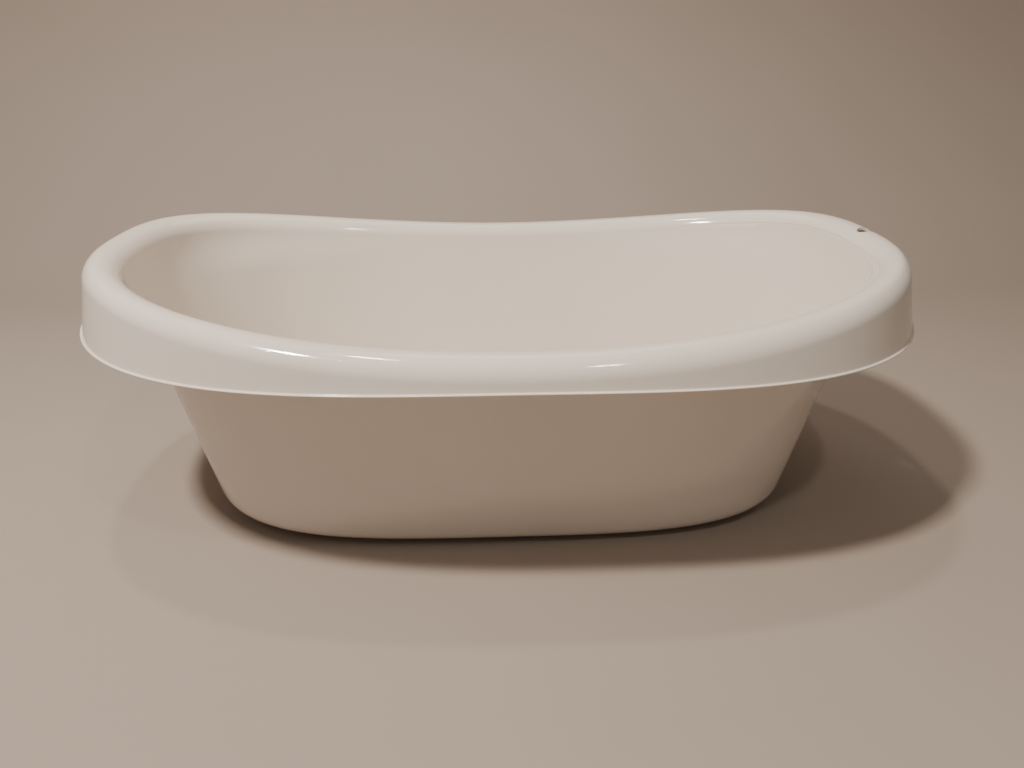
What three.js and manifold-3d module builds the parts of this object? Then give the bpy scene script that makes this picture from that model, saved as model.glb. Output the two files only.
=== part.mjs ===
// A one-piece moulded plastic baby bath with a rolled rim, standing on its own foot ring,
// and the stopper that closes its drain.
//
// Millimetres. X runs along the bath, head end at -X and foot end at +X. Y runs across it.
// Z is up. The origin is on the ground under the middle of the bath.

import * as THREE from 'three';
import { mergeVertices } from 'three/addons/utils/BufferGeometryUtils.js';
import Module from 'manifold-3d';

// ---- Driving dimensions ----------------------------------------------------------------

// Rim, measured on the outline where the apron meets the lip.
const RIM_LENGTH = 761;
const RIM_BREADTH = 480.6;
const RIM_SQUARENESS = 2.6; // superellipse exponent: 2 is an ellipse, higher is boxier
const CREST_SIDES = 217.3; // height of the rim's crest in the middle of the long sides
const CREST_HEAD = 257.5; // the same at the head end
const CREST_FOOT = 254.2; // and at the foot end
const CREST_FLATTENING = 0.15; // how much the rise eases off towards the ends
const RIM_DEPTH = 40; // from the rim outline in to the crease where the inside wall starts
const CREASE_SLOPE_SIDES = THREE.MathUtils.degToRad(71); // slope of the rim's top at the crease
const CREASE_SLOPE_ENDS = THREE.MathUtils.degToRad(55);
const CREST_FLAT_SIDES = 3.7; // width of the level strip along the crest
const CREST_FLAT_ENDS = 0.5;
const OUTER_ROLL_SIDES = 19; // radius of the rim's outer edge
const OUTER_ROLL_ENDS = 10;

// Apron: the skirt that hangs from the rim.
const APRON_BOTTOM_SIDES = 194; // height of its lower edge
const APRON_BOTTOM_HEAD = 197;
const APRON_BOTTOM_FOOT = 191.7;
const APRON_DIP = 4.3; // how far the edge sags between the sides and the ends
const APRON_FLARE = THREE.MathUtils.degToRad(10.3);
const LIP_REACH = 2.2; // how far the bead along the lower edge stands out
const LIP_HEIGHT = 2.6;
const LIP_SLANT = 0.55; // how far the bead's outer face starts below its root

// Tub below the rim, measured on its inside.
const SHOULDER_LENGTH = 658.4; // inside outline at the shoulder, where the straight wall ends
const SHOULDER_BREADTH = 390.6;
const SHOULDER_SQUARENESS = 2.5;
const SHOULDER_HEIGHT = 184;
const CREASE_LEAN_SIDES = THREE.MathUtils.degToRad(14); // lean of the wall just below the crease
const CREASE_LEAN_ENDS = THREE.MathUtils.degToRad(7);
const FLOOR_LENGTH = 556.6; // inside outline of the floor, as if its corner were sharp
const FLOOR_BREADTH = 293;
const FLOOR_SQUARENESS_HEAD = 3.42;
const FLOOR_SQUARENESS_FOOT = 3.65;
const FLOOR_SHIFT = -2; // the floor sits slightly towards the head end
const FLOOR_FILLET_SIDES = 11.4;
const FLOOR_FILLET_ENDS = 29.2;
const WALL = 2.6;

// Foot ring that lifts the floor off the ground.
const FOOT_HEIGHT = 4;
const FOOT_THICKNESS = 4;
const FOOT_INSET = 18; // from the floor outline in to the ring

// Drain, near the foot end, and the hole that the bath hangs by.
const DRAIN_X = 190;
const DRAIN_BORE = 34;
const HANG_HOLE = 17;
const HANG_HOLE_INSET = 22.5; // from the rim outline in to the hole's centre
const HANG_CUT_DEPTH = 12; // below the crest: through the rim, and clear of the wall inside

// Stopper.
const CLEARANCE = 0.3; // between pieces that touch
const PLUG_HEAD = 50;
const PLUG_HEAD_THICKNESS = 4;
const PLUG_EDGE = 1.6; // radius round the head's upper edge
const PLUG_STEM_PLAY = 0.5; // all round, between the stem and the bore
const PLUG_STEM_WALL = 2;
const PLUG_STEM_DROP = 2; // how far the stem reaches below the floor
const GRIP_LENGTH = 30;
const GRIP_HEIGHT = 14;
const GRIP_THICKNESS = 5;
const SEAL_THICKNESS = 2.2;
const SEAL_MARGIN = 1.5; // the seal stops this far inside the head's edge

// Fineness of the faceting.
const STATIONS = 72; // round the bath
const FILLET_STEPS = 4;
const WALL_STEPS = 2;
const SHOULDER_STEPS = 2;
const CROWN_STEPS = 4;
const ROLL_STEPS = 4;
const ROUND_SEGMENTS = 48;
const GRIP_CURVE_SEGMENTS = 8;
const PLUG_EDGE_STEPS = 3;
const MERGE_DISTANCE = 1e-4; // vertices closer than this are one

// ---- Small helpers ---------------------------------------------------------------------

const { lerp } = THREE.MathUtils;
const FLOOR_TOP = FOOT_HEIGHT + WALL;

const wasm = await Module();
wasm.setup();

function toSolid(geometry) {
  const bare = geometry.clone();
  bare.deleteAttribute('normal');
  bare.deleteAttribute('uv');
  const merged = mergeVertices(bare, MERGE_DISTANCE);
  const mesh = new wasm.Mesh({
    numProp: 3,
    vertProperties: new Float32Array(merged.attributes.position.array),
    triVerts: new Uint32Array(merged.index.array),
  });
  return new wasm.Manifold(mesh);
}

function toGeometry(solid) {
  const mesh = solid.getMesh();
  const geometry = new THREE.BufferGeometry();
  geometry.setAttribute('position', new THREE.BufferAttribute(new Float32Array(mesh.vertProperties), 3));
  geometry.setIndex(new THREE.BufferAttribute(new Uint32Array(mesh.triVerts), 1));
  geometry.computeVertexNormals();
  return geometry;
}

// A cylinder that stands on Z between two heights.
function post(radius, x, low, high) {
  const geometry = new THREE.CylinderGeometry(radius, radius, high - low, ROUND_SEGMENTS);
  geometry.rotateX(Math.PI / 2);
  geometry.translate(x, 0, (low + high) / 2);
  return geometry;
}

// A point of a superellipse, with the outward normal there.
function outlinePoint(t, length, breadth, squareness, shift = 0) {
  const power = (value, exponent) => Math.sign(value) * Math.abs(value) ** exponent;
  const along = power(Math.cos(t), 2 / squareness);
  const across = power(Math.sin(t), 2 / squareness);
  const normal = new THREE.Vector2(
    power(along, squareness - 1) / length,
    power(across, squareness - 1) / breadth,
  );
  return {
    point: new THREE.Vector2((length / 2) * along + shift, (breadth / 2) * across),
    normal: normal.normalize(),
    along,
  };
}

// A point at a distance in from an outline point, at a height.
function inward(outline, inset, height) {
  return new THREE.Vector3(
    outline.point.x - inset * outline.normal.x,
    outline.point.y - inset * outline.normal.y,
    height,
  );
}

// Points of an arc in the upright plane through an outline point's normal. Angles are
// measured up from the direction that faces out of the bath (side 1) or into it (side -1).
function arc(outline, inset, height, radius, side, from, to, steps) {
  const points = [];
  for (let i = 0; i <= steps; i += 1) {
    const angle = lerp(from, to, i / steps);
    const reach = side * radius * Math.cos(angle);
    points.push(inward(outline, inset - reach, height + radius * Math.sin(angle)));
  }
  return points;
}

// A curve between two points that leaves and arrives along given directions.
function blend(start, leaving, end, arriving, steps) {
  const chord = start.distanceTo(end);
  const curve = new THREE.CubicBezierCurve3(
    start,
    start.clone().addScaledVector(leaving, chord / 3),
    end.clone().addScaledVector(arriving, -chord / 3),
    end,
  );
  return curve.getPoints(steps);
}

// ---- Tub -------------------------------------------------------------------------------

// How the rim changes round the bath. `along` is -1 at the head end, 0 in the middle of the
// long sides and 1 at the foot end.
function rimAt(along) {
  const square = along * along;
  const between = square * (1 - square); // none at the sides and the ends
  const middle = (1 - square) ** 2; // 1 at the sides, gone well before the ends
  const crestEnd = along < 0 ? CREST_HEAD : CREST_FOOT;
  const bottomEnd = along < 0 ? APRON_BOTTOM_HEAD : APRON_BOTTOM_FOOT;
  const crest = lerp(CREST_SIDES, crestEnd, square + CREST_FLATTENING * between);
  const outerRoll = lerp(OUTER_ROLL_ENDS, OUTER_ROLL_SIDES, middle);
  const apronBottom = lerp(APRON_BOTTOM_SIDES, bottomEnd, square) - 4 * APRON_DIP * between;
  const lipTop = apronBottom + LIP_HEIGHT;
  const tangentHeight = crest - outerRoll * (1 - Math.sin(APRON_FLARE));
  const flareInset = Math.tan(APRON_FLARE) * (tangentHeight - lipTop);
  const outerInset = flareInset + outerRoll * Math.cos(APRON_FLARE);
  const crestInset = outerInset + lerp(CREST_FLAT_ENDS, CREST_FLAT_SIDES, middle);
  const creaseSlope = lerp(CREASE_SLOPE_SIDES, CREASE_SLOPE_ENDS, square);
  return {
    crest,
    crestInset,
    creaseSlope,
    crown: (RIM_DEPTH - crestInset) / Math.sin(creaseSlope),
    creaseLean: lerp(CREASE_LEAN_SIDES, CREASE_LEAN_ENDS, square),
    outerRoll,
    outerInset,
    apronBottom,
    lipTop,
  };
}

// The floor's fillet and the straight wall above it, at one station.
function tubWall(t) {
  const squareness = lerp(FLOOR_SQUARENESS_HEAD, FLOOR_SQUARENESS_FOOT, (1 + Math.cos(t)) / 2);
  const floor = outlinePoint(t, FLOOR_LENGTH, FLOOR_BREADTH, squareness, FLOOR_SHIFT);
  const shoulder = outlinePoint(t, SHOULDER_LENGTH, SHOULDER_BREADTH, SHOULDER_SQUARENESS);
  const corner = inward(floor, 0, FLOOR_TOP);
  const top = inward(shoulder, 0, SHOULDER_HEIGHT);
  const climb = top.clone().sub(corner).divideScalar(SHOULDER_HEIGHT - FLOOR_TOP);
  const slope = climb.x * floor.normal.x + climb.y * floor.normal.y;
  const lean = Math.atan(slope);
  const radius = lerp(FLOOR_FILLET_SIDES, FLOOR_FILLET_ENDS, Math.cos(t) ** 2);
  const tangentLength = radius / Math.tan((Math.PI / 2 + lean) / 2);
  const points = [];
  for (let i = 0; i <= FILLET_STEPS; i += 1) {
    const angle = lerp(-Math.PI / 2, -lean, i / FILLET_STEPS);
    const height = radius * (1 + Math.sin(angle));
    const inset = tangentLength - radius * Math.cos(angle) + height * slope;
    points.push(inward(floor, inset, FLOOR_TOP).addScaledVector(climb, height));
  }
  const wallFoot = points[points.length - 1];
  for (let i = 1; i <= WALL_STEPS; i += 1) {
    points.push(wallFoot.clone().lerp(top, i / WALL_STEPS));
  }
  return { points, climb: climb.normalize() };
}

// The skin that a bather touches, at one station: from the edge of the flat floor up the
// wall, over the rim and down the apron.
function upperSkin(t) {
  const outline = outlinePoint(t, RIM_LENGTH, RIM_BREADTH, RIM_SQUARENESS);
  const rim = rimAt(outline.along);
  const wall = tubWall(t);
  const crown = arc(
    outline, rim.crestInset, rim.crest - rim.crown, rim.crown, -1,
    Math.PI / 2 - rim.creaseSlope, Math.PI / 2, CROWN_STEPS,
  );
  const outerRoll = arc(
    outline, rim.outerInset, rim.crest - rim.outerRoll, rim.outerRoll, 1,
    Math.PI / 2, APRON_FLARE, ROLL_STEPS,
  );
  const arriving = new THREE.Vector3(
    outline.normal.x * Math.sin(rim.creaseLean),
    outline.normal.y * Math.sin(rim.creaseLean),
    Math.cos(rim.creaseLean),
  );
  const shoulder = blend(
    wall.points[wall.points.length - 1], wall.climb, crown[0], arriving, SHOULDER_STEPS,
  );
  const lipRoot = inward(outline, 0, rim.lipTop);
  return {
    skin: [...wall.points, ...shoulder.slice(1), ...crown.slice(1), ...outerRoll, lipRoot],
    outline,
    rim,
  };
}

// The same skin moved down or outward by the wall's thickness, for every station.
function underSkin(skins) {
  const last = skins[0].length - 1;
  return skins.map((skin, s) => {
    const next = skins[(s + 1) % skins.length];
    const previous = skins[(s - 1 + skins.length) % skins.length];
    return skin.map((point, k) => {
      const round = next[k].clone().sub(previous[k]);
      const up = skin[Math.min(k + 1, last)].clone().sub(skin[Math.max(k - 1, 0)]);
      if (k === 0) {
        return new THREE.Vector3(point.x, point.y, point.z - WALL);
      }
      const outwards = round.cross(up).normalize();
      return point.clone().addScaledVector(outwards, WALL);
    });
  });
}

// The foot ring's section at one station, from its outer face round to its inner face.
function footRing(t) {
  const floor = outlinePoint(t, FLOOR_LENGTH, FLOOR_BREADTH, FLOOR_SQUARENESS_FOOT, FLOOR_SHIFT);
  const outer = FOOT_INSET + FLOOR_FILLET_ENDS * Math.cos(t) ** 2;
  const inner = outer + FOOT_THICKNESS;
  return [
    inward(floor, outer, FOOT_HEIGHT),
    inward(floor, outer, 0),
    inward(floor, inner, 0),
    inward(floor, inner, FOOT_HEIGHT),
  ];
}

// Every ring of the shell, from the middle of the floor's top, over the rim, back under it
// and down to the middle of the floor's underside.
function shellRings() {
  const stations = [];
  for (let s = 0; s < STATIONS; s += 1) {
    stations.push((2 * Math.PI * s) / STATIONS);
  }
  const uppers = stations.map(upperSkin);
  const unders = underSkin(uppers.map((upper) => upper.skin));
  const sections = stations.map((t, s) => {
    const { skin, outline, rim } = uppers[s];
    const lip = [
      inward(outline, -LIP_REACH, rim.lipTop - LIP_SLANT),
      inward(outline, -LIP_REACH, rim.apronBottom),
      inward(outline, WALL, rim.apronBottom),
    ];
    return [...skin, ...lip, ...unders[s].reverse(), ...footRing(t)];
  });
  return sections[0].map((point, k) => sections.map((section) => section[k]));
}

// A closed surface through rings that share their count, with a fan over each end ring.
function closedSkin(rings, firstCentre, lastCentre) {
  const count = rings[0].length;
  const points = [...rings.flat(), firstCentre, lastCentre];
  const first = points.length - 2;
  const last = points.length - 1;
  const lastRing = (rings.length - 1) * count;
  const triangles = [];
  for (let s = 0; s < count; s += 1) {
    const next = (s + 1) % count;
    triangles.push(first, s, next);
    triangles.push(last, lastRing + next, lastRing + s);
    for (let k = 0; k < rings.length - 1; k += 1) {
      const here = k * count;
      const there = here + count;
      triangles.push(here + s, there + s, there + next);
      triangles.push(here + s, there + next, here + next);
    }
  }
  const geometry = new THREE.BufferGeometry().setFromPoints(points);
  geometry.setIndex(triangles);
  return geometry;
}

function tubShell() {
  const top = new THREE.Vector3(FLOOR_SHIFT, 0, FLOOR_TOP);
  const bottom = new THREE.Vector3(FLOOR_SHIFT, 0, FOOT_HEIGHT);
  const shell = toSolid(closedSkin(shellRings(), top, bottom));
  const drain = toSolid(post(DRAIN_BORE / 2, DRAIN_X, 0, FLOOR_TOP + WALL));
  const hangX = RIM_LENGTH / 2 - HANG_HOLE_INSET;
  const hang = toSolid(post(HANG_HOLE / 2, hangX, CREST_FOOT - HANG_CUT_DEPTH, CREST_FOOT + WALL));
  return toGeometry(shell.subtract(drain).subtract(hang));
}

// ---- Stopper ---------------------------------------------------------------------------

const SEAL_LOW = FLOOR_TOP + CLEARANCE;
const SEAL_HIGH = SEAL_LOW + SEAL_THICKNESS;
const HEAD_LOW = SEAL_HIGH + CLEARANCE;
const HEAD_HIGH = HEAD_LOW + PLUG_HEAD_THICKNESS;
const STEM_RADIUS = DRAIN_BORE / 2 - PLUG_STEM_PLAY;

// A turned body from a half section of [radius, height] pairs.
function turned(section) {
  const outline = section.map(([radius, height]) => new THREE.Vector2(radius, height));
  const geometry = new THREE.LatheGeometry(outline, ROUND_SEGMENTS);
  geometry.rotateX(Math.PI / 2);
  return geometry;
}

// The finger grip: an upright tab with a rounded top, across the stopper.
function gripTab() {
  const half = GRIP_LENGTH / 2;
  const round = GRIP_HEIGHT / 2;
  const shape = new THREE.Shape();
  shape.moveTo(-half, -PLUG_HEAD_THICKNESS / 2);
  shape.lineTo(half, -PLUG_HEAD_THICKNESS / 2);
  shape.lineTo(half, round);
  shape.absarc(half - round, round, round, 0, Math.PI / 2, false);
  shape.lineTo(-half + round, GRIP_HEIGHT);
  shape.absarc(-half + round, round, round, Math.PI / 2, Math.PI, false);
  shape.closePath();
  const geometry = new THREE.ExtrudeGeometry(shape, {
    depth: GRIP_THICKNESS,
    bevelEnabled: false,
    curveSegments: GRIP_CURVE_SEGMENTS,
  });
  geometry.translate(0, 0, -GRIP_THICKNESS / 2);
  geometry.rotateX(Math.PI / 2);
  geometry.rotateZ(Math.PI / 2);
  geometry.translate(0, 0, HEAD_HIGH);
  return geometry;
}

function drainPlug() {
  const head = PLUG_HEAD / 2;
  const hollow = STEM_RADIUS - PLUG_STEM_WALL;
  const tip = FOOT_HEIGHT - PLUG_STEM_DROP;
  const edge = [];
  for (let i = 0; i <= PLUG_EDGE_STEPS; i += 1) {
    const angle = (i / PLUG_EDGE_STEPS) * (Math.PI / 2);
    const radius = head - PLUG_EDGE * (1 - Math.cos(angle));
    edge.push([radius, HEAD_HIGH - PLUG_EDGE * (1 - Math.sin(angle))]);
  }
  const body = turned([
    [0, HEAD_LOW],
    [hollow, HEAD_LOW],
    [hollow, tip],
    [STEM_RADIUS, tip],
    [STEM_RADIUS, HEAD_LOW],
    [head, HEAD_LOW],
    ...edge,
    [0, HEAD_HIGH],
  ]);
  return toGeometry(toSolid(body).add(toSolid(gripTab())));
}

function plugSeal() {
  const inner = STEM_RADIUS + CLEARANCE;
  const outer = PLUG_HEAD / 2 - SEAL_MARGIN;
  return turned([
    [inner, SEAL_LOW],
    [outer, SEAL_LOW],
    [outer, SEAL_HIGH],
    [inner, SEAL_HIGH],
    [inner, SEAL_LOW],
  ]);
}

// ---- Scene -----------------------------------------------------------------------------

const polypropylene = new THREE.MeshStandardMaterial({ color: 0xe9e3d8, roughness: 0.28, metalness: 0 });
const plugPlastic = new THREE.MeshStandardMaterial({ color: 0xdedad2, roughness: 0.4, metalness: 0 });
const softRubber = new THREE.MeshStandardMaterial({ color: 0xb9b6b0, roughness: 0.75, metalness: 0 });

function addMesh(parent, name, geometry, material) {
  const mesh = new THREE.Mesh(geometry, material);
  mesh.name = name;
  parent.add(mesh);
}

const bath = new THREE.Group();
bath.name = 'baby_bath';
addMesh(bath, 'tub_shell', tubShell(), polypropylene);

const stopper = new THREE.Group();
stopper.position.set(DRAIN_X, 0, 0);
addMesh(stopper, 'drain_plug', drainPlug(), plugPlastic);
addMesh(stopper, 'plug_seal', plugSeal(), softRubber);
bath.add(stopper);

export default bath;
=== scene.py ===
"""Looks of a one-piece moulded baby bath with a lift-out stopper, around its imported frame."""

import math

import bpy
import numpy as np
from mathutils import Matrix, Vector


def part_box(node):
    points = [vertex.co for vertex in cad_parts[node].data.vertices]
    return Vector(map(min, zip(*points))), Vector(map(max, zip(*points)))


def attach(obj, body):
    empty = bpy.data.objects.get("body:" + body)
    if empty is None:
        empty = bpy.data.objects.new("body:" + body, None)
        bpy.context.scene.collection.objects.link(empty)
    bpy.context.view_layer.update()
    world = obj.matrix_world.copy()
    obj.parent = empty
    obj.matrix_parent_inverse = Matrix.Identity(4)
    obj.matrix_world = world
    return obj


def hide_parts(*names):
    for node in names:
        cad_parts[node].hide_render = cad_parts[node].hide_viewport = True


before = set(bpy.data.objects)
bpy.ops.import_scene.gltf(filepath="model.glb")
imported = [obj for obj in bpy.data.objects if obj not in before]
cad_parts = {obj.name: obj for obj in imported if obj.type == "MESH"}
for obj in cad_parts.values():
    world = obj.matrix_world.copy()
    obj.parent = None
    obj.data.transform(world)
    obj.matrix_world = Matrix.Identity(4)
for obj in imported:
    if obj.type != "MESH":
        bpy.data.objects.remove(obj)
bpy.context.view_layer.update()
TUB_LOW, TUB_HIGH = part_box("tub_shell")
PLUG_LOW, PLUG_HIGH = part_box("drain_plug")
SEAL_LOW, SEAL_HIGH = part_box("plug_seal")

# ---- Sizes, in metres --------------------------------------------------------------------

# Rim. Its outline is where the apron meets the bead along its lower edge.
BEAD_REACH = 0.0022
BEAD_THICKNESS = 0.0014
BEAD_FILLET = 0.0010
RIM_LENGTH = TUB_HIGH.x - TUB_LOW.x - 2 * BEAD_REACH
RIM_BREADTH = TUB_HIGH.y - TUB_LOW.y - 2 * BEAD_REACH
RIM_SQUARENESS = 2.6
CREST_SIDES = 0.2173
CREST_HEAD = TUB_HIGH.z
CREST_FOOT = 0.2558
CREST_FLATTENING = 0.15
RIM_DEPTH = 0.040
CREASE_SLOPE_HEAD = math.radians(83)
CREASE_SLOPE_SIDES = math.radians(71)
CREASE_SLOPE_FOOT = math.radians(66)
CREASE_GROOVE_WIDTH = 0.0016
CREASE_GROOVE_DEPTH = 0.0008
CREASE_GROOVE_START = 0.5
CREASE_GROOVE_FULL = 0.9
CREST_FLAT_SIDES = 0.0037
CREST_FLAT_ENDS = 0.0005
OUTER_ROLL_SIDES = 0.019
OUTER_ROLL_ENDS = 0.0095
ROLL_EASE_HEAD = 1.6
ROLL_EASE_FOOT = 2.2
ROLL_TURN = math.radians(50)

# Apron.
APRON_BOTTOM_SIDES = 0.194
APRON_BOTTOM_HEAD = 0.197
APRON_BOTTOM_FOOT = 0.1917
APRON_DIP = 0.0043
APRON_FLARE = math.radians(10.3)

# Tub below the rim, on its inside.
SHOULDER_LENGTH = 0.6584
SHOULDER_BREADTH = 0.3906
SHOULDER_SQUARENESS = 2.5
SHOULDER_HEIGHT = 0.184
CREASE_LEAN_SIDES = math.radians(14)
CREASE_LEAN_ENDS = math.radians(7)
FLOOR_LENGTH = 0.5566
FLOOR_BREADTH = 0.293
FLOOR_SQUARENESS_HEAD = 3.42
FLOOR_SQUARENESS_FOOT = 3.65
FLOOR_SHIFT = -0.002
FLOOR_FILLET_SIDES = 0.0114
FLOOR_FILLET_ENDS = 0.0292
WALL = 0.0026

# Foot ring.
FOOT_HEIGHT = 0.004
FOOT_THICKNESS = 0.004
FOOT_INSET = 0.018
FOOT_EDGE = 0.0012
FLOOR_TOP = FOOT_HEIGHT + WALL

# Holes.
DRAIN = Vector(((PLUG_LOW.x + PLUG_HIGH.x) / 2, 0, 0))
DRAIN_BORE = 0.034
HANG_HOLE = 0.0185
HANG_HOLE_INSET = 0.0215
HANG_CUT_DEPTH = 0.012
HOLE_SEGMENTS = 96

# Stopper, which lies on its seal.
PLUG_HEAD = PLUG_HIGH.x - PLUG_LOW.x
PLUG_HEAD_THICKNESS = 0.004
PLUG_EDGE = 0.0016
PLUG_STEM_PLAY = 0.0005
PLUG_STEM_RADIUS = DRAIN_BORE / 2 - PLUG_STEM_PLAY
PLUG_STEM_WALL = 0.002
PLUG_STEM_TIP = 0.0005
PLUG_DISH_RADIUS = 0.0185
PLUG_DISH_DEPTH = 0.0006
CLEARANCE = 0.0003
GRIP_LENGTH = 0.030
GRIP_THICKNESS = 0.005
GRIP_SQUARENESS = 4
GRIP_FILLET = 0.0016
GRIP_EDGE = 0.0015
GRIP_SHOULDER = 0.007

# Seal.
SEAL_EDGE = 0.0008

# Fineness of the surfaces.
STATIONS = 360
PLUG_STATIONS = 128
CORNER_STEPS = 6
GRIP_STEPS = 14
FLOOR_RINGS = 8
FILLET_STEPS = 10
WALL_STEPS = 14
SHOULDER_STEPS = 10
CROWN_STEPS = 16
ROLL_STEPS = 12
APRON_STEPS = 6
BEAD_STEPS = 8
FOOT_EDGE_STEPS = 4
PLUG_EDGE_STEPS = 3
OUTLINE_SAMPLES = 40

# Edges that turn by more than this stay sharp.
TUB_SHARP = math.radians(45)
PLUG_SHARP = math.radians(35)
SEAL_SHARP = math.radians(50)
SWEEP_SHARP = math.radians(60)

# Camera: where it looks, from how far and along which line.
CAMERA_AIM = Vector((0.00943, 0, 0.09636))
CAMERA_DISTANCE = 0.82990
CAMERA_YAW = math.radians(2.662)
CAMERA_PITCH = math.radians(23.848)
CAMERA_ROLL = math.radians(-0.066)
CAMERA_SENSOR = 36
CAMERA_LENS = 27.885

# Stage and light. The stage's sizes are in metres too.
STAGE_HALF = 3.0
STAGE_BACK = 0.62
SWEEP_RADIUS = 0.5
SWEEP_STEPS = 24
LIGHT_AIM = Vector((0, 0, 0.15))
LIGHT_COLOUR = (1.0, 0.93, 0.86)
TOP_LIGHT_COLOUR = (1.0, 0.94, 0.88)
BACK_LIGHT_COLOUR = (1.0, 0.95, 0.90)
SKY_COLOUR = (0.86, 0.80, 0.74, 1)
SKY_BRIGHT_SIDE = (-0.35, -0.1, 0.93)
SKY_DIM = 0.04
SKY_BRIGHT = 0.34
SKY_DIM_FROM = -0.45

# Colours of the materials: each drifts between a colour and a slightly darker shade.
TUB_COLOUR = (0.83, 0.745, 0.655, 1)
TUB_SHADE = (0.81, 0.725, 0.63, 1)
PLUG_COLOUR = (0.68, 0.66, 0.62, 1)
PLUG_SHADE = (0.66, 0.64, 0.60, 1)
SEAL_COLOUR = (0.42, 0.41, 0.39, 1)
SEAL_SHADE = (0.36, 0.35, 0.33, 1)
SCUFF_COLOUR = (0.42, 0.37, 0.32, 1)
STAGE_COLOUR = (0.39, 0.32, 0.265, 1)
STAGE_SHADE_SHARE = 0.97


# ---- Sections of the tub -----------------------------------------------------------------


def lerp(low, high, share):
    return low + (high - low) * share


def power(value, exponent):
    return np.sign(value) * np.abs(value) ** exponent


class Outline:
    """Points of a superellipse seen from above, with their outward normals, for every t."""

    def __init__(self, t, length, breadth, squareness, shift=0.0):
        self.along = power(np.cos(t), 2 / squareness)
        self.across = power(np.sin(t), 2 / squareness)
        self.point = np.stack([length / 2 * self.along + shift, breadth / 2 * self.across], -1)
        normal = np.stack([
            power(self.along, squareness - 1) / length,
            power(self.across, squareness - 1) / breadth,
        ], -1)
        self.normal = normal / np.linalg.norm(normal, axis=1, keepdims=True)

    def inward(self, inset, height):
        """The ring of points at a distance in from the outline, at a height."""
        inset = np.broadcast_to(inset, self.along.shape)
        height = np.broadcast_to(height, self.along.shape)
        flat = self.point - inset[:, None] * self.normal
        return np.concatenate([flat, height[:, None]], 1)

    def arc(self, inset, height, radius, side, start, end, steps):
        """Rings along an arc, from one angle above the level to another. side is 1 facing out."""
        rings = []
        for i in range(steps + 1):
            angle = lerp(start, end, i / steps)
            reach = side * radius * np.cos(angle)
            rings.append(self.inward(inset - reach, height + radius * np.sin(angle)))
        return rings


def even_stations(count):
    """Values of t that divide the rim's outline into equal lengths."""
    t = np.linspace(0, 2 * math.pi, OUTLINE_SAMPLES * count + 1)
    point = Outline(t, RIM_LENGTH, RIM_BREADTH, RIM_SQUARENESS).point
    length = np.concatenate([[0], np.cumsum(np.linalg.norm(np.diff(point, axis=0), axis=1))])
    return np.interp(np.arange(count) * length[-1] / count, length, t)


class Rim:
    """How the rim changes round the bath: along is -1 at the head end and 1 at the foot end."""

    def __init__(self, along):
        square = along * along
        between = square * (1 - square)
        middle = (1 - square) ** 2
        crest_end = np.where(along < 0, CREST_HEAD, CREST_FOOT)
        bottom_end = np.where(along < 0, APRON_BOTTOM_HEAD, APRON_BOTTOM_FOOT)
        self.crest = lerp(CREST_SIDES, crest_end, square + CREST_FLATTENING * between)
        self.roll = lerp(OUTER_ROLL_ENDS, OUTER_ROLL_SIDES, middle)
        self.ease = self.roll * lerp(np.where(along < 0, ROLL_EASE_HEAD, ROLL_EASE_FOOT), 1, middle)
        self.bottom = lerp(APRON_BOTTOM_SIDES, bottom_end, square) - 4 * APRON_DIP * between
        self.root = self.bottom + BEAD_THICKNESS + BEAD_FILLET
        self.ease_height = self.crest - self.roll - (self.ease - self.roll) * math.sin(ROLL_TURN)
        apron_rise = self.ease_height + self.ease * math.sin(APRON_FLARE) - self.root
        self.ease_inset = math.tan(APRON_FLARE) * apron_rise + self.ease * math.cos(APRON_FLARE)
        self.roll_inset = self.ease_inset - (self.ease - self.roll) * math.cos(ROLL_TURN)
        self.crest_inset = self.roll_inset + lerp(CREST_FLAT_ENDS, CREST_FLAT_SIDES, middle)
        slope_end = np.where(along < 0, CREASE_SLOPE_HEAD, CREASE_SLOPE_FOOT)
        self.crease_slope = lerp(CREASE_SLOPE_SIDES, slope_end, square)
        self.crown = (RIM_DEPTH - self.crest_inset) / np.sin(self.crease_slope)
        self.crease_lean = lerp(CREASE_LEAN_SIDES, CREASE_LEAN_ENDS, square)
        deepening = (along - CREASE_GROOVE_START) / (CREASE_GROOVE_FULL - CREASE_GROOVE_START)
        self.groove = CREASE_GROOVE_DEPTH * np.clip(deepening, 0, 1)


def between_rings(start, end, steps):
    """The rings after start, up to and with end, on straight lines."""
    return [lerp(start, end, i / steps) for i in range(1, steps + 1)]


def blend_rings(start, leaving, end, arriving, steps):
    """The rings after start on curves that leave and arrive along given directions."""
    chord = np.linalg.norm(end - start, axis=1, keepdims=True)
    first = start + leaving * chord / 3
    last = end - arriving * chord / 3
    rings = []
    for i in range(1, steps + 1):
        u = i / steps
        rings.append(
            (1 - u) ** 3 * start + 3 * u * (1 - u) ** 2 * first + 3 * u * u * (1 - u) * last + u**3 * end
        )
    return rings


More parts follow.
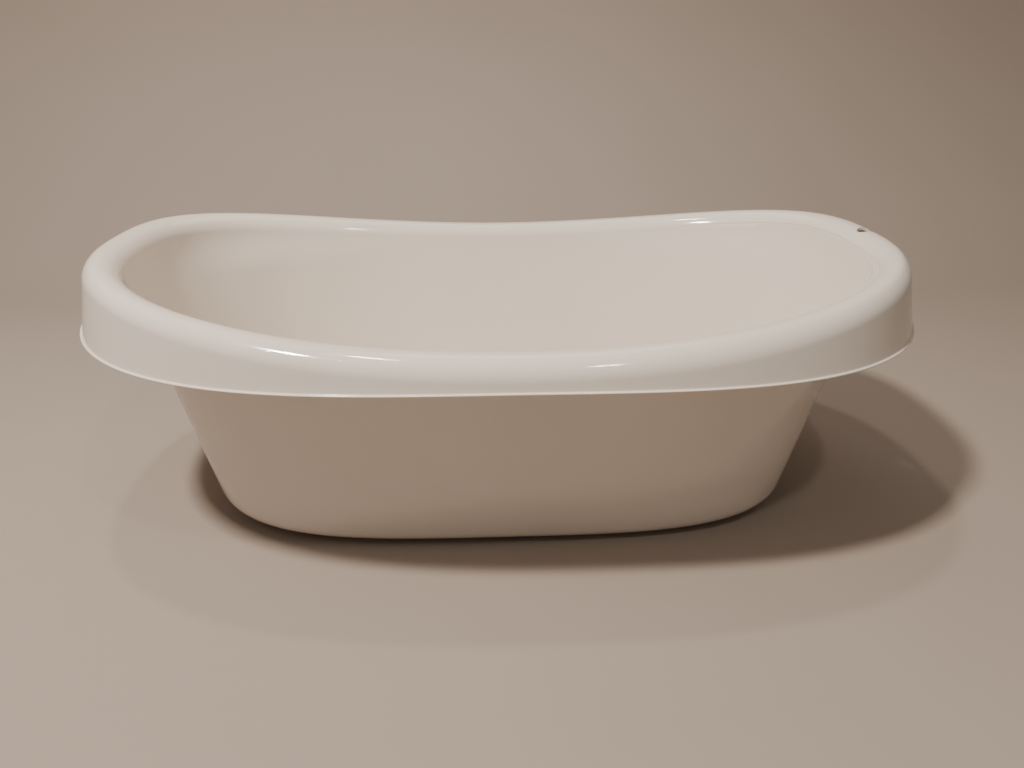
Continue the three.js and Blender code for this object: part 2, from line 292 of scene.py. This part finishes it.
def wall_rings(t):
    """The floor's fillet and the straight wall above it, and the direction that the wall climbs."""
    squareness = lerp(FLOOR_SQUARENESS_HEAD, FLOOR_SQUARENESS_FOOT, (1 + np.cos(t)) / 2)
    floor = Outline(t, FLOOR_LENGTH, FLOOR_BREADTH, squareness, FLOOR_SHIFT)
    shoulder = Outline(t, SHOULDER_LENGTH, SHOULDER_BREADTH, SHOULDER_SQUARENESS)
    corner = floor.inward(0, FLOOR_TOP)
    top = shoulder.inward(0, SHOULDER_HEIGHT)
    climb = (top - corner) / (SHOULDER_HEIGHT - FLOOR_TOP)
    slope = (climb[:, :2] * floor.normal).sum(1)
    lean = np.arctan(slope)
    radius = lerp(FLOOR_FILLET_SIDES, FLOOR_FILLET_ENDS, np.cos(t) ** 2)
    tangent = radius / np.tan((math.pi / 2 + lean) / 2)
    rings = []
    for i in range(FILLET_STEPS + 1):
        angle = lerp(-math.pi / 2, -lean, i / FILLET_STEPS)
        height = radius * (1 + np.sin(angle))
        inset = tangent - radius * np.cos(angle) + height * slope
        rings.append(floor.inward(inset, FLOOR_TOP) + climb * height[:, None])
    rings += between_rings(rings[-1], top, WALL_STEPS)
    return rings, climb / np.linalg.norm(climb, axis=1, keepdims=True)


def offset_rings(rings, distance):
    """The same skin, moved by a distance along its normals."""
    skin = np.array(rings)
    around = np.roll(skin, -1, 1) - np.roll(skin, 1, 1)
    up = np.gradient(skin, axis=0)
    normal = np.cross(around, up)
    normal /= np.linalg.norm(normal, axis=2, keepdims=True)
    return list(skin + distance * normal)


def foot_rings(t):
    """The foot ring's section, from its outer face round to its inner face."""
    floor = Outline(t, FLOOR_LENGTH, FLOOR_BREADTH, FLOOR_SQUARENESS_FOOT, FLOOR_SHIFT)
    outer = FOOT_INSET + FLOOR_FILLET_ENDS * np.cos(t) ** 2
    inner = outer + FOOT_THICKNESS
    quarter = math.pi / 2
    outside = floor.arc(outer + FOOT_EDGE, FOOT_EDGE, FOOT_EDGE, 1, 0, -quarter, FOOT_EDGE_STEPS)
    inside = floor.arc(inner - FOOT_EDGE, FOOT_EDGE, FOOT_EDGE, -1, -quarter, 0, FOOT_EDGE_STEPS)
    return [floor.inward(outer, FOOT_HEIGHT), *outside, *inside, floor.inward(inner, FOOT_HEIGHT)]


def bead_rings(outline, rim):
    """The thin bead that stands out along the apron's lower edge, round to inside the apron."""
    quarter = math.pi / 2
    radius = BEAD_THICKNESS / 2
    fillet = outline.arc(-BEAD_FILLET, rim.root, BEAD_FILLET, -1, 0, -quarter, BEAD_STEPS // 2)
    edge = outline.arc(radius - BEAD_REACH, rim.bottom + radius, radius, 1, quarter, -quarter, BEAD_STEPS)
    return [*fillet[1:], *edge, outline.inward(WALL, rim.bottom)]


def roll_rings(outline, rim):
    """The rim's outer roll: from the crest down a close arc, then a wider one that eases it out."""
    close = outline.arc(
        rim.roll_inset, rim.crest - rim.roll, rim.roll, 1, math.pi / 2, ROLL_TURN, ROLL_STEPS,
    )
    wide = outline.arc(
        rim.ease_inset, rim.ease_height, rim.ease, 1, ROLL_TURN, APRON_FLARE, ROLL_STEPS,
    )
    return [*close, *wide[1:]]


def crown_rings(outline, rim):
    """The rim's top: the crease, the bottom of its fine groove, and from there out to the crest."""
    start = math.pi / 2 - rim.crease_slope
    beside = start + CREASE_GROOVE_WIDTH / 2 / rim.crown
    centre = (rim.crest_inset, rim.crest - rim.crown)
    crease = outline.arc(*centre, rim.crown, -1, start, beside, 1)[0]
    groove = outline.arc(*centre, rim.crown - rim.groove, -1, start, beside, 1)[0]
    crown = outline.arc(*centre, rim.crown, -1, beside, math.pi / 2, CROWN_STEPS)
    return [crease, groove, *crown]


def shell_rings(t):
    """Every ring of the tub: over its inside, its rim and apron, back underneath, to the foot."""
    outline = Outline(t, RIM_LENGTH, RIM_BREADTH, RIM_SQUARENESS)
    rim = Rim(outline.along)
    wall, climb = wall_rings(t)
    crown = crown_rings(outline, rim)
    roll = roll_rings(outline, rim)
    arriving = np.stack([
        outline.normal[:, 0] * np.sin(rim.crease_lean),
        outline.normal[:, 1] * np.sin(rim.crease_lean),
        np.cos(rim.crease_lean),
    ], -1)
    below_crease = crown[0] - arriving * CREASE_GROOVE_WIDTH / 2
    shoulder = blend_rings(wall[-1], climb, below_crease, arriving, SHOULDER_STEPS)
    root = outline.inward(0, rim.root)
    apron = between_rings(roll[-1], root, APRON_STEPS)
    skin = [*wall, *shoulder, *crown[1:], *roll, *apron]
    middle = np.array([FLOOR_SHIFT, 0, FLOOR_TOP])
    floor = [lerp(middle, wall[0], i / FLOOR_RINGS) for i in range(1, FLOOR_RINGS)]
    under = offset_rings(skin, WALL)[::-1]
    foot = foot_rings(t)
    below = np.array([FLOOR_SHIFT, 0, FOOT_HEIGHT])
    sole = [lerp(below, foot[-1], i / FLOOR_RINGS) for i in range(FLOOR_RINGS - 1, 0, -1)]
    return [*floor, *skin, *bead_rings(outline, rim), *under, *foot, *sole], middle, below


# ---- Meshes ------------------------------------------------------------------------------


def mesh_object(name, points, faces):
    mesh = bpy.data.meshes.new(name)
    mesh.from_pydata([tuple(p) for p in points], [], faces)
    mesh.validate()
    obj = bpy.data.objects.new(name, mesh)
    bpy.context.scene.collection.objects.link(obj)
    return obj


def ring_mesh(name, rings, first, last):
    """A closed skin through rings of equal count, with a fan over each end."""
    count = len(rings[0])
    points = [*np.concatenate(rings), first, last]
    faces = []
    for s in range(count):
        n = (s + 1) % count
        faces.append((len(points) - 2, s, n))
        base = (len(rings) - 1) * count
        faces.append((len(points) - 1, base + n, base + s))
        for k in range(0, base, count):
            faces.append((k + s, k + count + s, k + count + n, k + n))
    return mesh_object(name, points, faces)


def slab(thickness, length, height, squareness=2):
    """A level ring about Z, round or nearly oblong, with the stopper's number of points."""
    t = 2 * math.pi * np.arange(PLUG_STATIONS) / PLUG_STATIONS
    return Outline(t, thickness, length, squareness).inward(0, height)


def circle(radius, height):
    """A level circle about Z."""
    return slab(2 * radius, 2 * radius, height)


def corner(radius, height, edge, start, end, steps=CORNER_STEPS):
    """Circles that round a corner, about a centre at a radius and a height."""
    rings = []
    for i in range(steps + 1):
        angle = lerp(start, end, i / steps)
        rings.append(circle(radius + edge * math.cos(angle), height + edge * math.sin(angle)))
    return rings


def post(name, radius, place, low, high):
    """A plain closed cylinder that stands on Z, used as a cutter."""
    points = []
    for z in (low, high):
        for s in range(HOLE_SEGMENTS):
            angle = 2 * math.pi * s / HOLE_SEGMENTS
            points.append((place.x + radius * math.cos(angle), place.y + radius * math.sin(angle), z))
    n = HOLE_SEGMENTS
    sides = [(s, (s + 1) % n, n + (s + 1) % n, n + s) for s in range(n)]
    return mesh_object(name, points, [tuple(range(n))[::-1], tuple(range(n, 2 * n)), *sides])


def combine(obj, other, operation):
    """Joins other to obj or cuts it out, and removes other."""
    modifier = obj.modifiers.new("combine", "BOOLEAN")
    modifier.operation = operation
    modifier.solver = "EXACT"
    modifier.object = other
    apply_modifiers(obj)
    bpy.data.objects.remove(other)


def apply_modifiers(obj):
    bpy.context.view_layer.update()
    evaluated = obj.evaluated_get(bpy.context.evaluated_depsgraph_get())
    mesh = bpy.data.meshes.new_from_object(evaluated)
    obj.modifiers.clear()
    obj.data = mesh


def smooth(obj, angle):
    """Smooth shading, with an edge kept sharp where it turns by more than the angle."""
    obj.data.polygons.foreach_set("use_smooth", [True] * len(obj.data.polygons))
    obj.data.set_sharp_from_angle(angle=angle)


def tub_shell():
    rings, first, last = shell_rings(even_stations(STATIONS))
    obj = ring_mesh("tub", rings, first, last)
    combine(obj, post("drain_cut", DRAIN_BORE / 2, DRAIN, 0, FLOOR_TOP + WALL), "DIFFERENCE")
    place = Vector((RIM_LENGTH / 2 - HANG_HOLE_INSET, 0, 0))
    hang = post("hang_cut", HANG_HOLE / 2, place, CREST_FOOT - HANG_CUT_DEPTH, CREST_FOOT + WALL)
    combine(obj, hang, "DIFFERENCE")
    smooth(obj, TUB_SHARP)
    return obj


def grip():
    """The stopper's upright finger tab: a rounded slab whose two upper corners are large arcs."""
    base = PLUG_HIGH.z - GRIP_SHOULDER
    low = SEAL_HIGH.z + CLEARANCE + PLUG_HEAD_THICKNESS
    rings = []
    for i in range(CORNER_STEPS + 1):
        angle = math.pi / 2 * i / CORNER_STEPS
        spread = 2 * GRIP_FILLET * (1 - math.sin(angle))
        height = low + GRIP_FILLET * (1 - math.cos(angle))
        rings.append(slab(GRIP_THICKNESS + spread, GRIP_LENGTH + spread, height, GRIP_SQUARENESS))
    rings.insert(0, rings[0] - np.array([0, 0, PLUG_HEAD_THICKNESS / 2]))
    for i in range(1, GRIP_STEPS):
        rise = math.sin(math.pi / 2 * i / GRIP_STEPS)
        narrow = 2 * GRIP_SHOULDER * (1 - math.sqrt(1 - rise * rise))
        from_top = GRIP_SHOULDER * (1 - rise)
        over_edge = max(0.0, 1 - from_top / GRIP_EDGE)
        thin = 2 * GRIP_EDGE * (1 - math.sqrt(1 - over_edge * over_edge))
        height = base + GRIP_SHOULDER * rise
        rings.append(slab(GRIP_THICKNESS - thin, GRIP_LENGTH - narrow, height, GRIP_SQUARENESS))
    middle = np.array([0, 0, PLUG_HIGH.z])
    return ring_mesh("grip", rings, rings[0].mean(0), middle)


def stopper():
    """The head with its shallow dish, the hollow stem below and the finger tab on top."""
    quarter = math.pi / 2
    low = SEAL_HIGH.z + CLEARANCE
    high = low + PLUG_HEAD_THICKNESS
    dish = high - PLUG_DISH_DEPTH
    tip = PLUG_LOW.z
    head = PLUG_HEAD / 2
    under_edge = PLUG_EDGE / 4
    hollow = PLUG_STEM_RADIUS - PLUG_STEM_WALL
    stem_edge = PLUG_STEM_RADIUS - PLUG_STEM_TIP
    rings = [
        circle(hollow / 2, low),
        circle(hollow, low),
        circle(hollow, tip),
        *corner(stem_edge, tip + PLUG_STEM_TIP, PLUG_STEM_TIP, -quarter, 0, PLUG_EDGE_STEPS),
        circle(PLUG_STEM_RADIUS, low),
        *corner(head - under_edge, low + under_edge, under_edge, -quarter, 0, PLUG_EDGE_STEPS),
        *corner(head - PLUG_EDGE, high - PLUG_EDGE, PLUG_EDGE, 0, quarter),
        circle(PLUG_DISH_RADIUS, high),
        circle(PLUG_DISH_RADIUS - 2 * PLUG_DISH_DEPTH, dish),
        circle(PLUG_DISH_RADIUS / 2, dish),
    ]
    obj = ring_mesh("stopper", rings, np.array([0, 0, low]), np.array([0, 0, dish]))
    combine(obj, grip(), "UNION")
    smooth(obj, PLUG_SHARP)
    obj.location = DRAIN
    return obj


def seal_ring():
    """The flat rubber ring under the stopper's head, with rounded lips and a slight waist outside."""
    quarter = math.pi / 2
    waist = (SEAL_HIGH.z - SEAL_LOW.z) / 8
    outer = (SEAL_HIGH.x - SEAL_LOW.x) / 2
    inner = PLUG_STEM_RADIUS + CLEARANCE
    low = SEAL_LOW.z + SEAL_EDGE
    high = SEAL_HIGH.z - SEAL_EDGE
    rings = [
        *corner(inner + SEAL_EDGE, low, SEAL_EDGE, -2 * quarter, -quarter),
        *corner(outer - SEAL_EDGE, low, SEAL_EDGE, -quarter, 0),
        circle(outer - waist, low + waist),
        *corner(outer - SEAL_EDGE, high, SEAL_EDGE, 0, quarter),
        *corner(inner + SEAL_EDGE, high, SEAL_EDGE, quarter, 2 * quarter),
    ]
    count = PLUG_STATIONS
    faces = []
    for k in range(len(rings)):
        m = (k + 1) % len(rings)
        for s in range(count):
            n = (s + 1) % count
            faces.append((k * count + s, k * count + n, m * count + n, m * count + s))
    obj = mesh_object("seal_ring", np.concatenate(rings), faces)
    smooth(obj, SEAL_SHARP)
    obj.location = DRAIN
    return obj


# ---- Materials ---------------------------------------------------------------------------


class Nodes:
    """A short way to write a node material. Noise scales are in cycles per metre."""

    def __init__(self, name):
        self.material = bpy.data.materials.new(name)
        self.material.use_nodes = True
        self.tree = self.material.node_tree
        self.shader = self.tree.nodes["Principled BSDF"]

    def add(self, kind, values=None, **settings):
        node = self.tree.nodes.new(kind)
        for key, value in settings.items():
            setattr(node, key, value)
        for key, value in (values or {}).items():
            self.put(node.inputs[key], value)
        return node

    def put(self, socket, value):
        if isinstance(value, bpy.types.NodeSocket):
            self.tree.links.new(value, socket)
        else:
            socket.default_value = value

    def place(self):
        return self.add("ShaderNodeTexCoord").outputs["Object"]

    def noise(self, scale, detail=2.0, vector=None, roughness=0.5):
        values = {"Scale": scale, "Detail": detail, "Roughness": roughness}
        values["Vector"] = vector if vector is not None else self.place()
        return self.add("ShaderNodeTexNoise", values).outputs["Fac"]

    def stretch(self, scale, turn=(0, 0, 0)):
        values = {"Vector": self.place(), "Scale": scale, "Rotation": turn}
        return self.add("ShaderNodeMapping", values).outputs["Vector"]

    def fit(self, value, low, high, to_low, to_high):
        values = {"Value": value, "From Min": low, "From Max": high, "To Min": to_low, "To Max": to_high}
        return self.add("ShaderNodeMapRange", values).outputs["Result"]

    def maths(self, operation, a, b):
        node = self.add("ShaderNodeMath", operation=operation)
        self.put(node.inputs[0], a)
        self.put(node.inputs[1], b)
        return node.outputs[0]

    def mix(self, share, a, b):
        node = self.add("ShaderNodeMix", data_type="RGBA")
        self.put(node.inputs["Factor"], share)
        self.put(node.inputs["A"], a)
        self.put(node.inputs["B"], b)
        return node.outputs["Result"]

    def bump(self, height, depth, normal=None):
        values = {"Height": height, "Distance": depth, "Strength": 1.0}
        if normal is not None:
            values["Normal"] = normal
        return self.add("ShaderNodeBump", values).outputs["Normal"]


def moulded_plastic(name, colour, shade, roughness, marks):
    """Glossy moulded polypropylene: a slow waviness, fine orange peel, hairlines and faint scuffs."""
    n = Nodes(name)
    cloud = n.fit(n.noise(9.0, 3.0), 0.3, 0.7, 0.0, 1.0)
    tint = n.mix(cloud, colour, shade)
    scuff_spots = n.fit(n.noise(24.0, 1.0), 0.74, 0.78, 0.0, 1.0)
    scuff_grain = n.fit(n.noise(900.0, 3.0, n.stretch((1.0, 1.0, 0.2))), 0.45, 0.62, 0.0, 1.0)
    scuffs = n.maths("MULTIPLY", n.maths("MULTIPLY", scuff_spots, scuff_grain), marks)
    tint = n.mix(scuffs, tint, SCUFF_COLOUR)
    n.put(n.shader.inputs["Base Color"], tint)
    long_hair = n.noise(60.0, 2.0, n.stretch((0.35, 30.0, 30.0), (0.0, 0.25, 0.5)))
    cross_hair = n.noise(60.0, 2.0, n.stretch((28.0, 0.4, 28.0), (0.4, 0.0, -0.3)))
    hair = n.maths("MAXIMUM", n.fit(long_hair, 0.68, 0.74, 0, 1), n.fit(cross_hair, 0.69, 0.75, 0, 1))
    wear = n.maths("MAXIMUM", n.maths("MULTIPLY", hair, 0.35), scuffs)
    patches = n.fit(n.noise(22.0, 4.0), 0.35, 0.7, roughness - 0.02, roughness + 0.03)
    n.put(n.shader.inputs["Roughness"], n.maths("ADD", patches, n.maths("MULTIPLY", wear, 0.22)))
    waves = n.bump(n.noise(14.0, 1.0), 0.00035)
    peel = n.bump(n.noise(520.0, 2.0), 0.000012, waves)
    n.put(n.shader.inputs["Normal"], n.bump(hair, -0.000006, peel))
    n.shader.inputs["IOR"].default_value = 1.49
    n.shader.inputs["Specular IOR Level"].default_value = 0.5
    return n.material


def seal_rubber(name):
    """Matt grey rubber with a fine grain."""
    n = Nodes(name)
    cloud = n.fit(n.noise(60.0, 4.0), 0.3, 0.7, 0.0, 1.0)
    n.put(n.shader.inputs["Base Color"], n.mix(cloud, SEAL_COLOUR, SEAL_SHADE))
    n.put(n.shader.inputs["Roughness"], n.fit(n.noise(240.0, 3.0), 0.3, 0.7, 0.62, 0.8))
    n.put(n.shader.inputs["Normal"], n.bump(n.noise(1400.0, 2.0), 0.00003))
    n.shader.inputs["IOR"].default_value = 1.52
    return n.material


def stage_paint(name, colour, roughness):
    """Plain matt paint with hardly visible clouds."""
    n = Nodes(name)
    cloud = n.fit(n.noise(3.0, 3.0), 0.3, 0.7, 0.0, 1.0)
    darker = tuple(c * STAGE_SHADE_SHARE for c in colour[:3]) + (1,)
    n.put(n.shader.inputs["Base Color"], n.mix(cloud, colour, darker))
    n.shader.inputs["Roughness"].default_value = roughness
    return n.material


def clad(obj, material):
    obj.data.materials.clear()
    obj.data.materials.append(material)


# ---- The object --------------------------------------------------------------------------

tub = tub_shell()
clad(tub, moulded_plastic("tub_plastic", TUB_COLOUR, TUB_SHADE, roughness=0.09, marks=0.12))
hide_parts("tub_shell")
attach(tub, "tub")

plug = stopper()
clad(plug, moulded_plastic("plug_plastic", PLUG_COLOUR, PLUG_SHADE, roughness=0.24, marks=0.15))
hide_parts("drain_plug")
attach(plug, "plug")

seal = seal_ring()
clad(seal, seal_rubber("seal_rubber"))
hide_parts("plug_seal")
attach(seal, "plug")

# ---- Stage, light and camera -------------------------------------------------------------


def sweep():
    """A seamless floor and backdrop."""
    profile = [(-STAGE_HALF, 0.0)]
    for i in range(SWEEP_STEPS + 1):
        angle = math.pi / 2 * i / SWEEP_STEPS
        profile.append((
            STAGE_BACK + SWEEP_RADIUS * math.sin(angle),
            SWEEP_RADIUS * (1 - math.cos(angle)),
        ))
    profile.append((STAGE_BACK + SWEEP_RADIUS, 2 * STAGE_HALF))
    points = [(x, y, z) for x in (-STAGE_HALF, STAGE_HALF) for y, z in profile]
    n = len(profile)
    obj = mesh_object("sweep", points, [(k, n + k, n + k + 1, k + 1) for k in range(n - 1)])
    smooth(obj, SWEEP_SHARP)
    clad(obj, stage_paint("stage_paint", STAGE_COLOUR, roughness=0.75))


def area_light(name, direction, distance, size, power_watts, colour):
    """A soft box that faces the tub from a direction."""
    light = bpy.data.lights.new(name, "AREA")
    light.shape = "RECTANGLE"
    light.size, light.size_y = size
    light.energy = power_watts
    light.color = colour
    obj = bpy.data.objects.new(name, light)
    towards = Vector(direction).normalized()
    obj.location = LIGHT_AIM + towards * distance
    obj.rotation_mode = "QUATERNION"
    obj.rotation_quaternion = towards.to_track_quat("Z", "Y")
    bpy.context.scene.collection.objects.link(obj)


def sky():
    """An even soft surround that is brighter on the side of the key light."""
    world = bpy.data.worlds.new("studio")
    world.use_nodes = True
    tree = world.node_tree
    background = tree.nodes["Background"]
    background.inputs["Color"].default_value = SKY_COLOUR
    place = tree.nodes.new("ShaderNodeTexCoord")
    facing = tree.nodes.new("ShaderNodeVectorMath")
    facing.operation = "DOT_PRODUCT"
    facing.inputs[1].default_value = Vector(SKY_BRIGHT_SIDE).normalized()
    level = tree.nodes.new("ShaderNodeMapRange")
    level.inputs["From Min"].default_value = SKY_DIM_FROM
    level.inputs["To Min"].default_value = SKY_DIM
    level.inputs["To Max"].default_value = SKY_BRIGHT
    tree.links.new(place.outputs["Generated"], facing.inputs[0])
    tree.links.new(facing.outputs["Value"], level.inputs["Value"])
    tree.links.new(level.outputs["Result"], background.inputs["Strength"])
    bpy.context.scene.world = world


def camera():
    look = Vector((
        math.sin(CAMERA_YAW) * math.cos(CAMERA_PITCH),
        math.cos(CAMERA_YAW) * math.cos(CAMERA_PITCH),
        -math.sin(CAMERA_PITCH),
    ))
    right = Vector((math.cos(CAMERA_YAW), -math.sin(CAMERA_YAW), 0))
    turned_right = Matrix.Rotation(CAMERA_ROLL, 3, look) @ right
    up = turned_right.cross(look)
    data = bpy.data.cameras.new("camera")
    data.sensor_width = CAMERA_SENSOR
    data.lens = CAMERA_LENS
    obj = bpy.data.objects.new("camera", data)
    axes = Matrix((turned_right, up, -look)).transposed().to_4x4()
    obj.matrix_world = Matrix.Translation(CAMERA_AIM - CAMERA_DISTANCE * look) @ axes
    bpy.context.scene.collection.objects.link(obj)
    bpy.context.scene.camera = obj


sweep()
area_light("key", (-0.38, -0.35, 0.86), 1.9, (0.16, 0.16), 41, LIGHT_COLOUR)
area_light("side_key", (0.20, -0.52, 0.83), 2.1, (0.10, 0.10), 4.5, LIGHT_COLOUR)
area_light("top", (-0.16, 0.08, 0.98), 2.1, (0.12, 0.12), 8, TOP_LIGHT_COLOUR)
area_light("back_fill", (0.10, 0.60, 0.80), 1.2, (0.6, 0.6), 1.3, BACK_LIGHT_COLOUR)
sky()
camera()
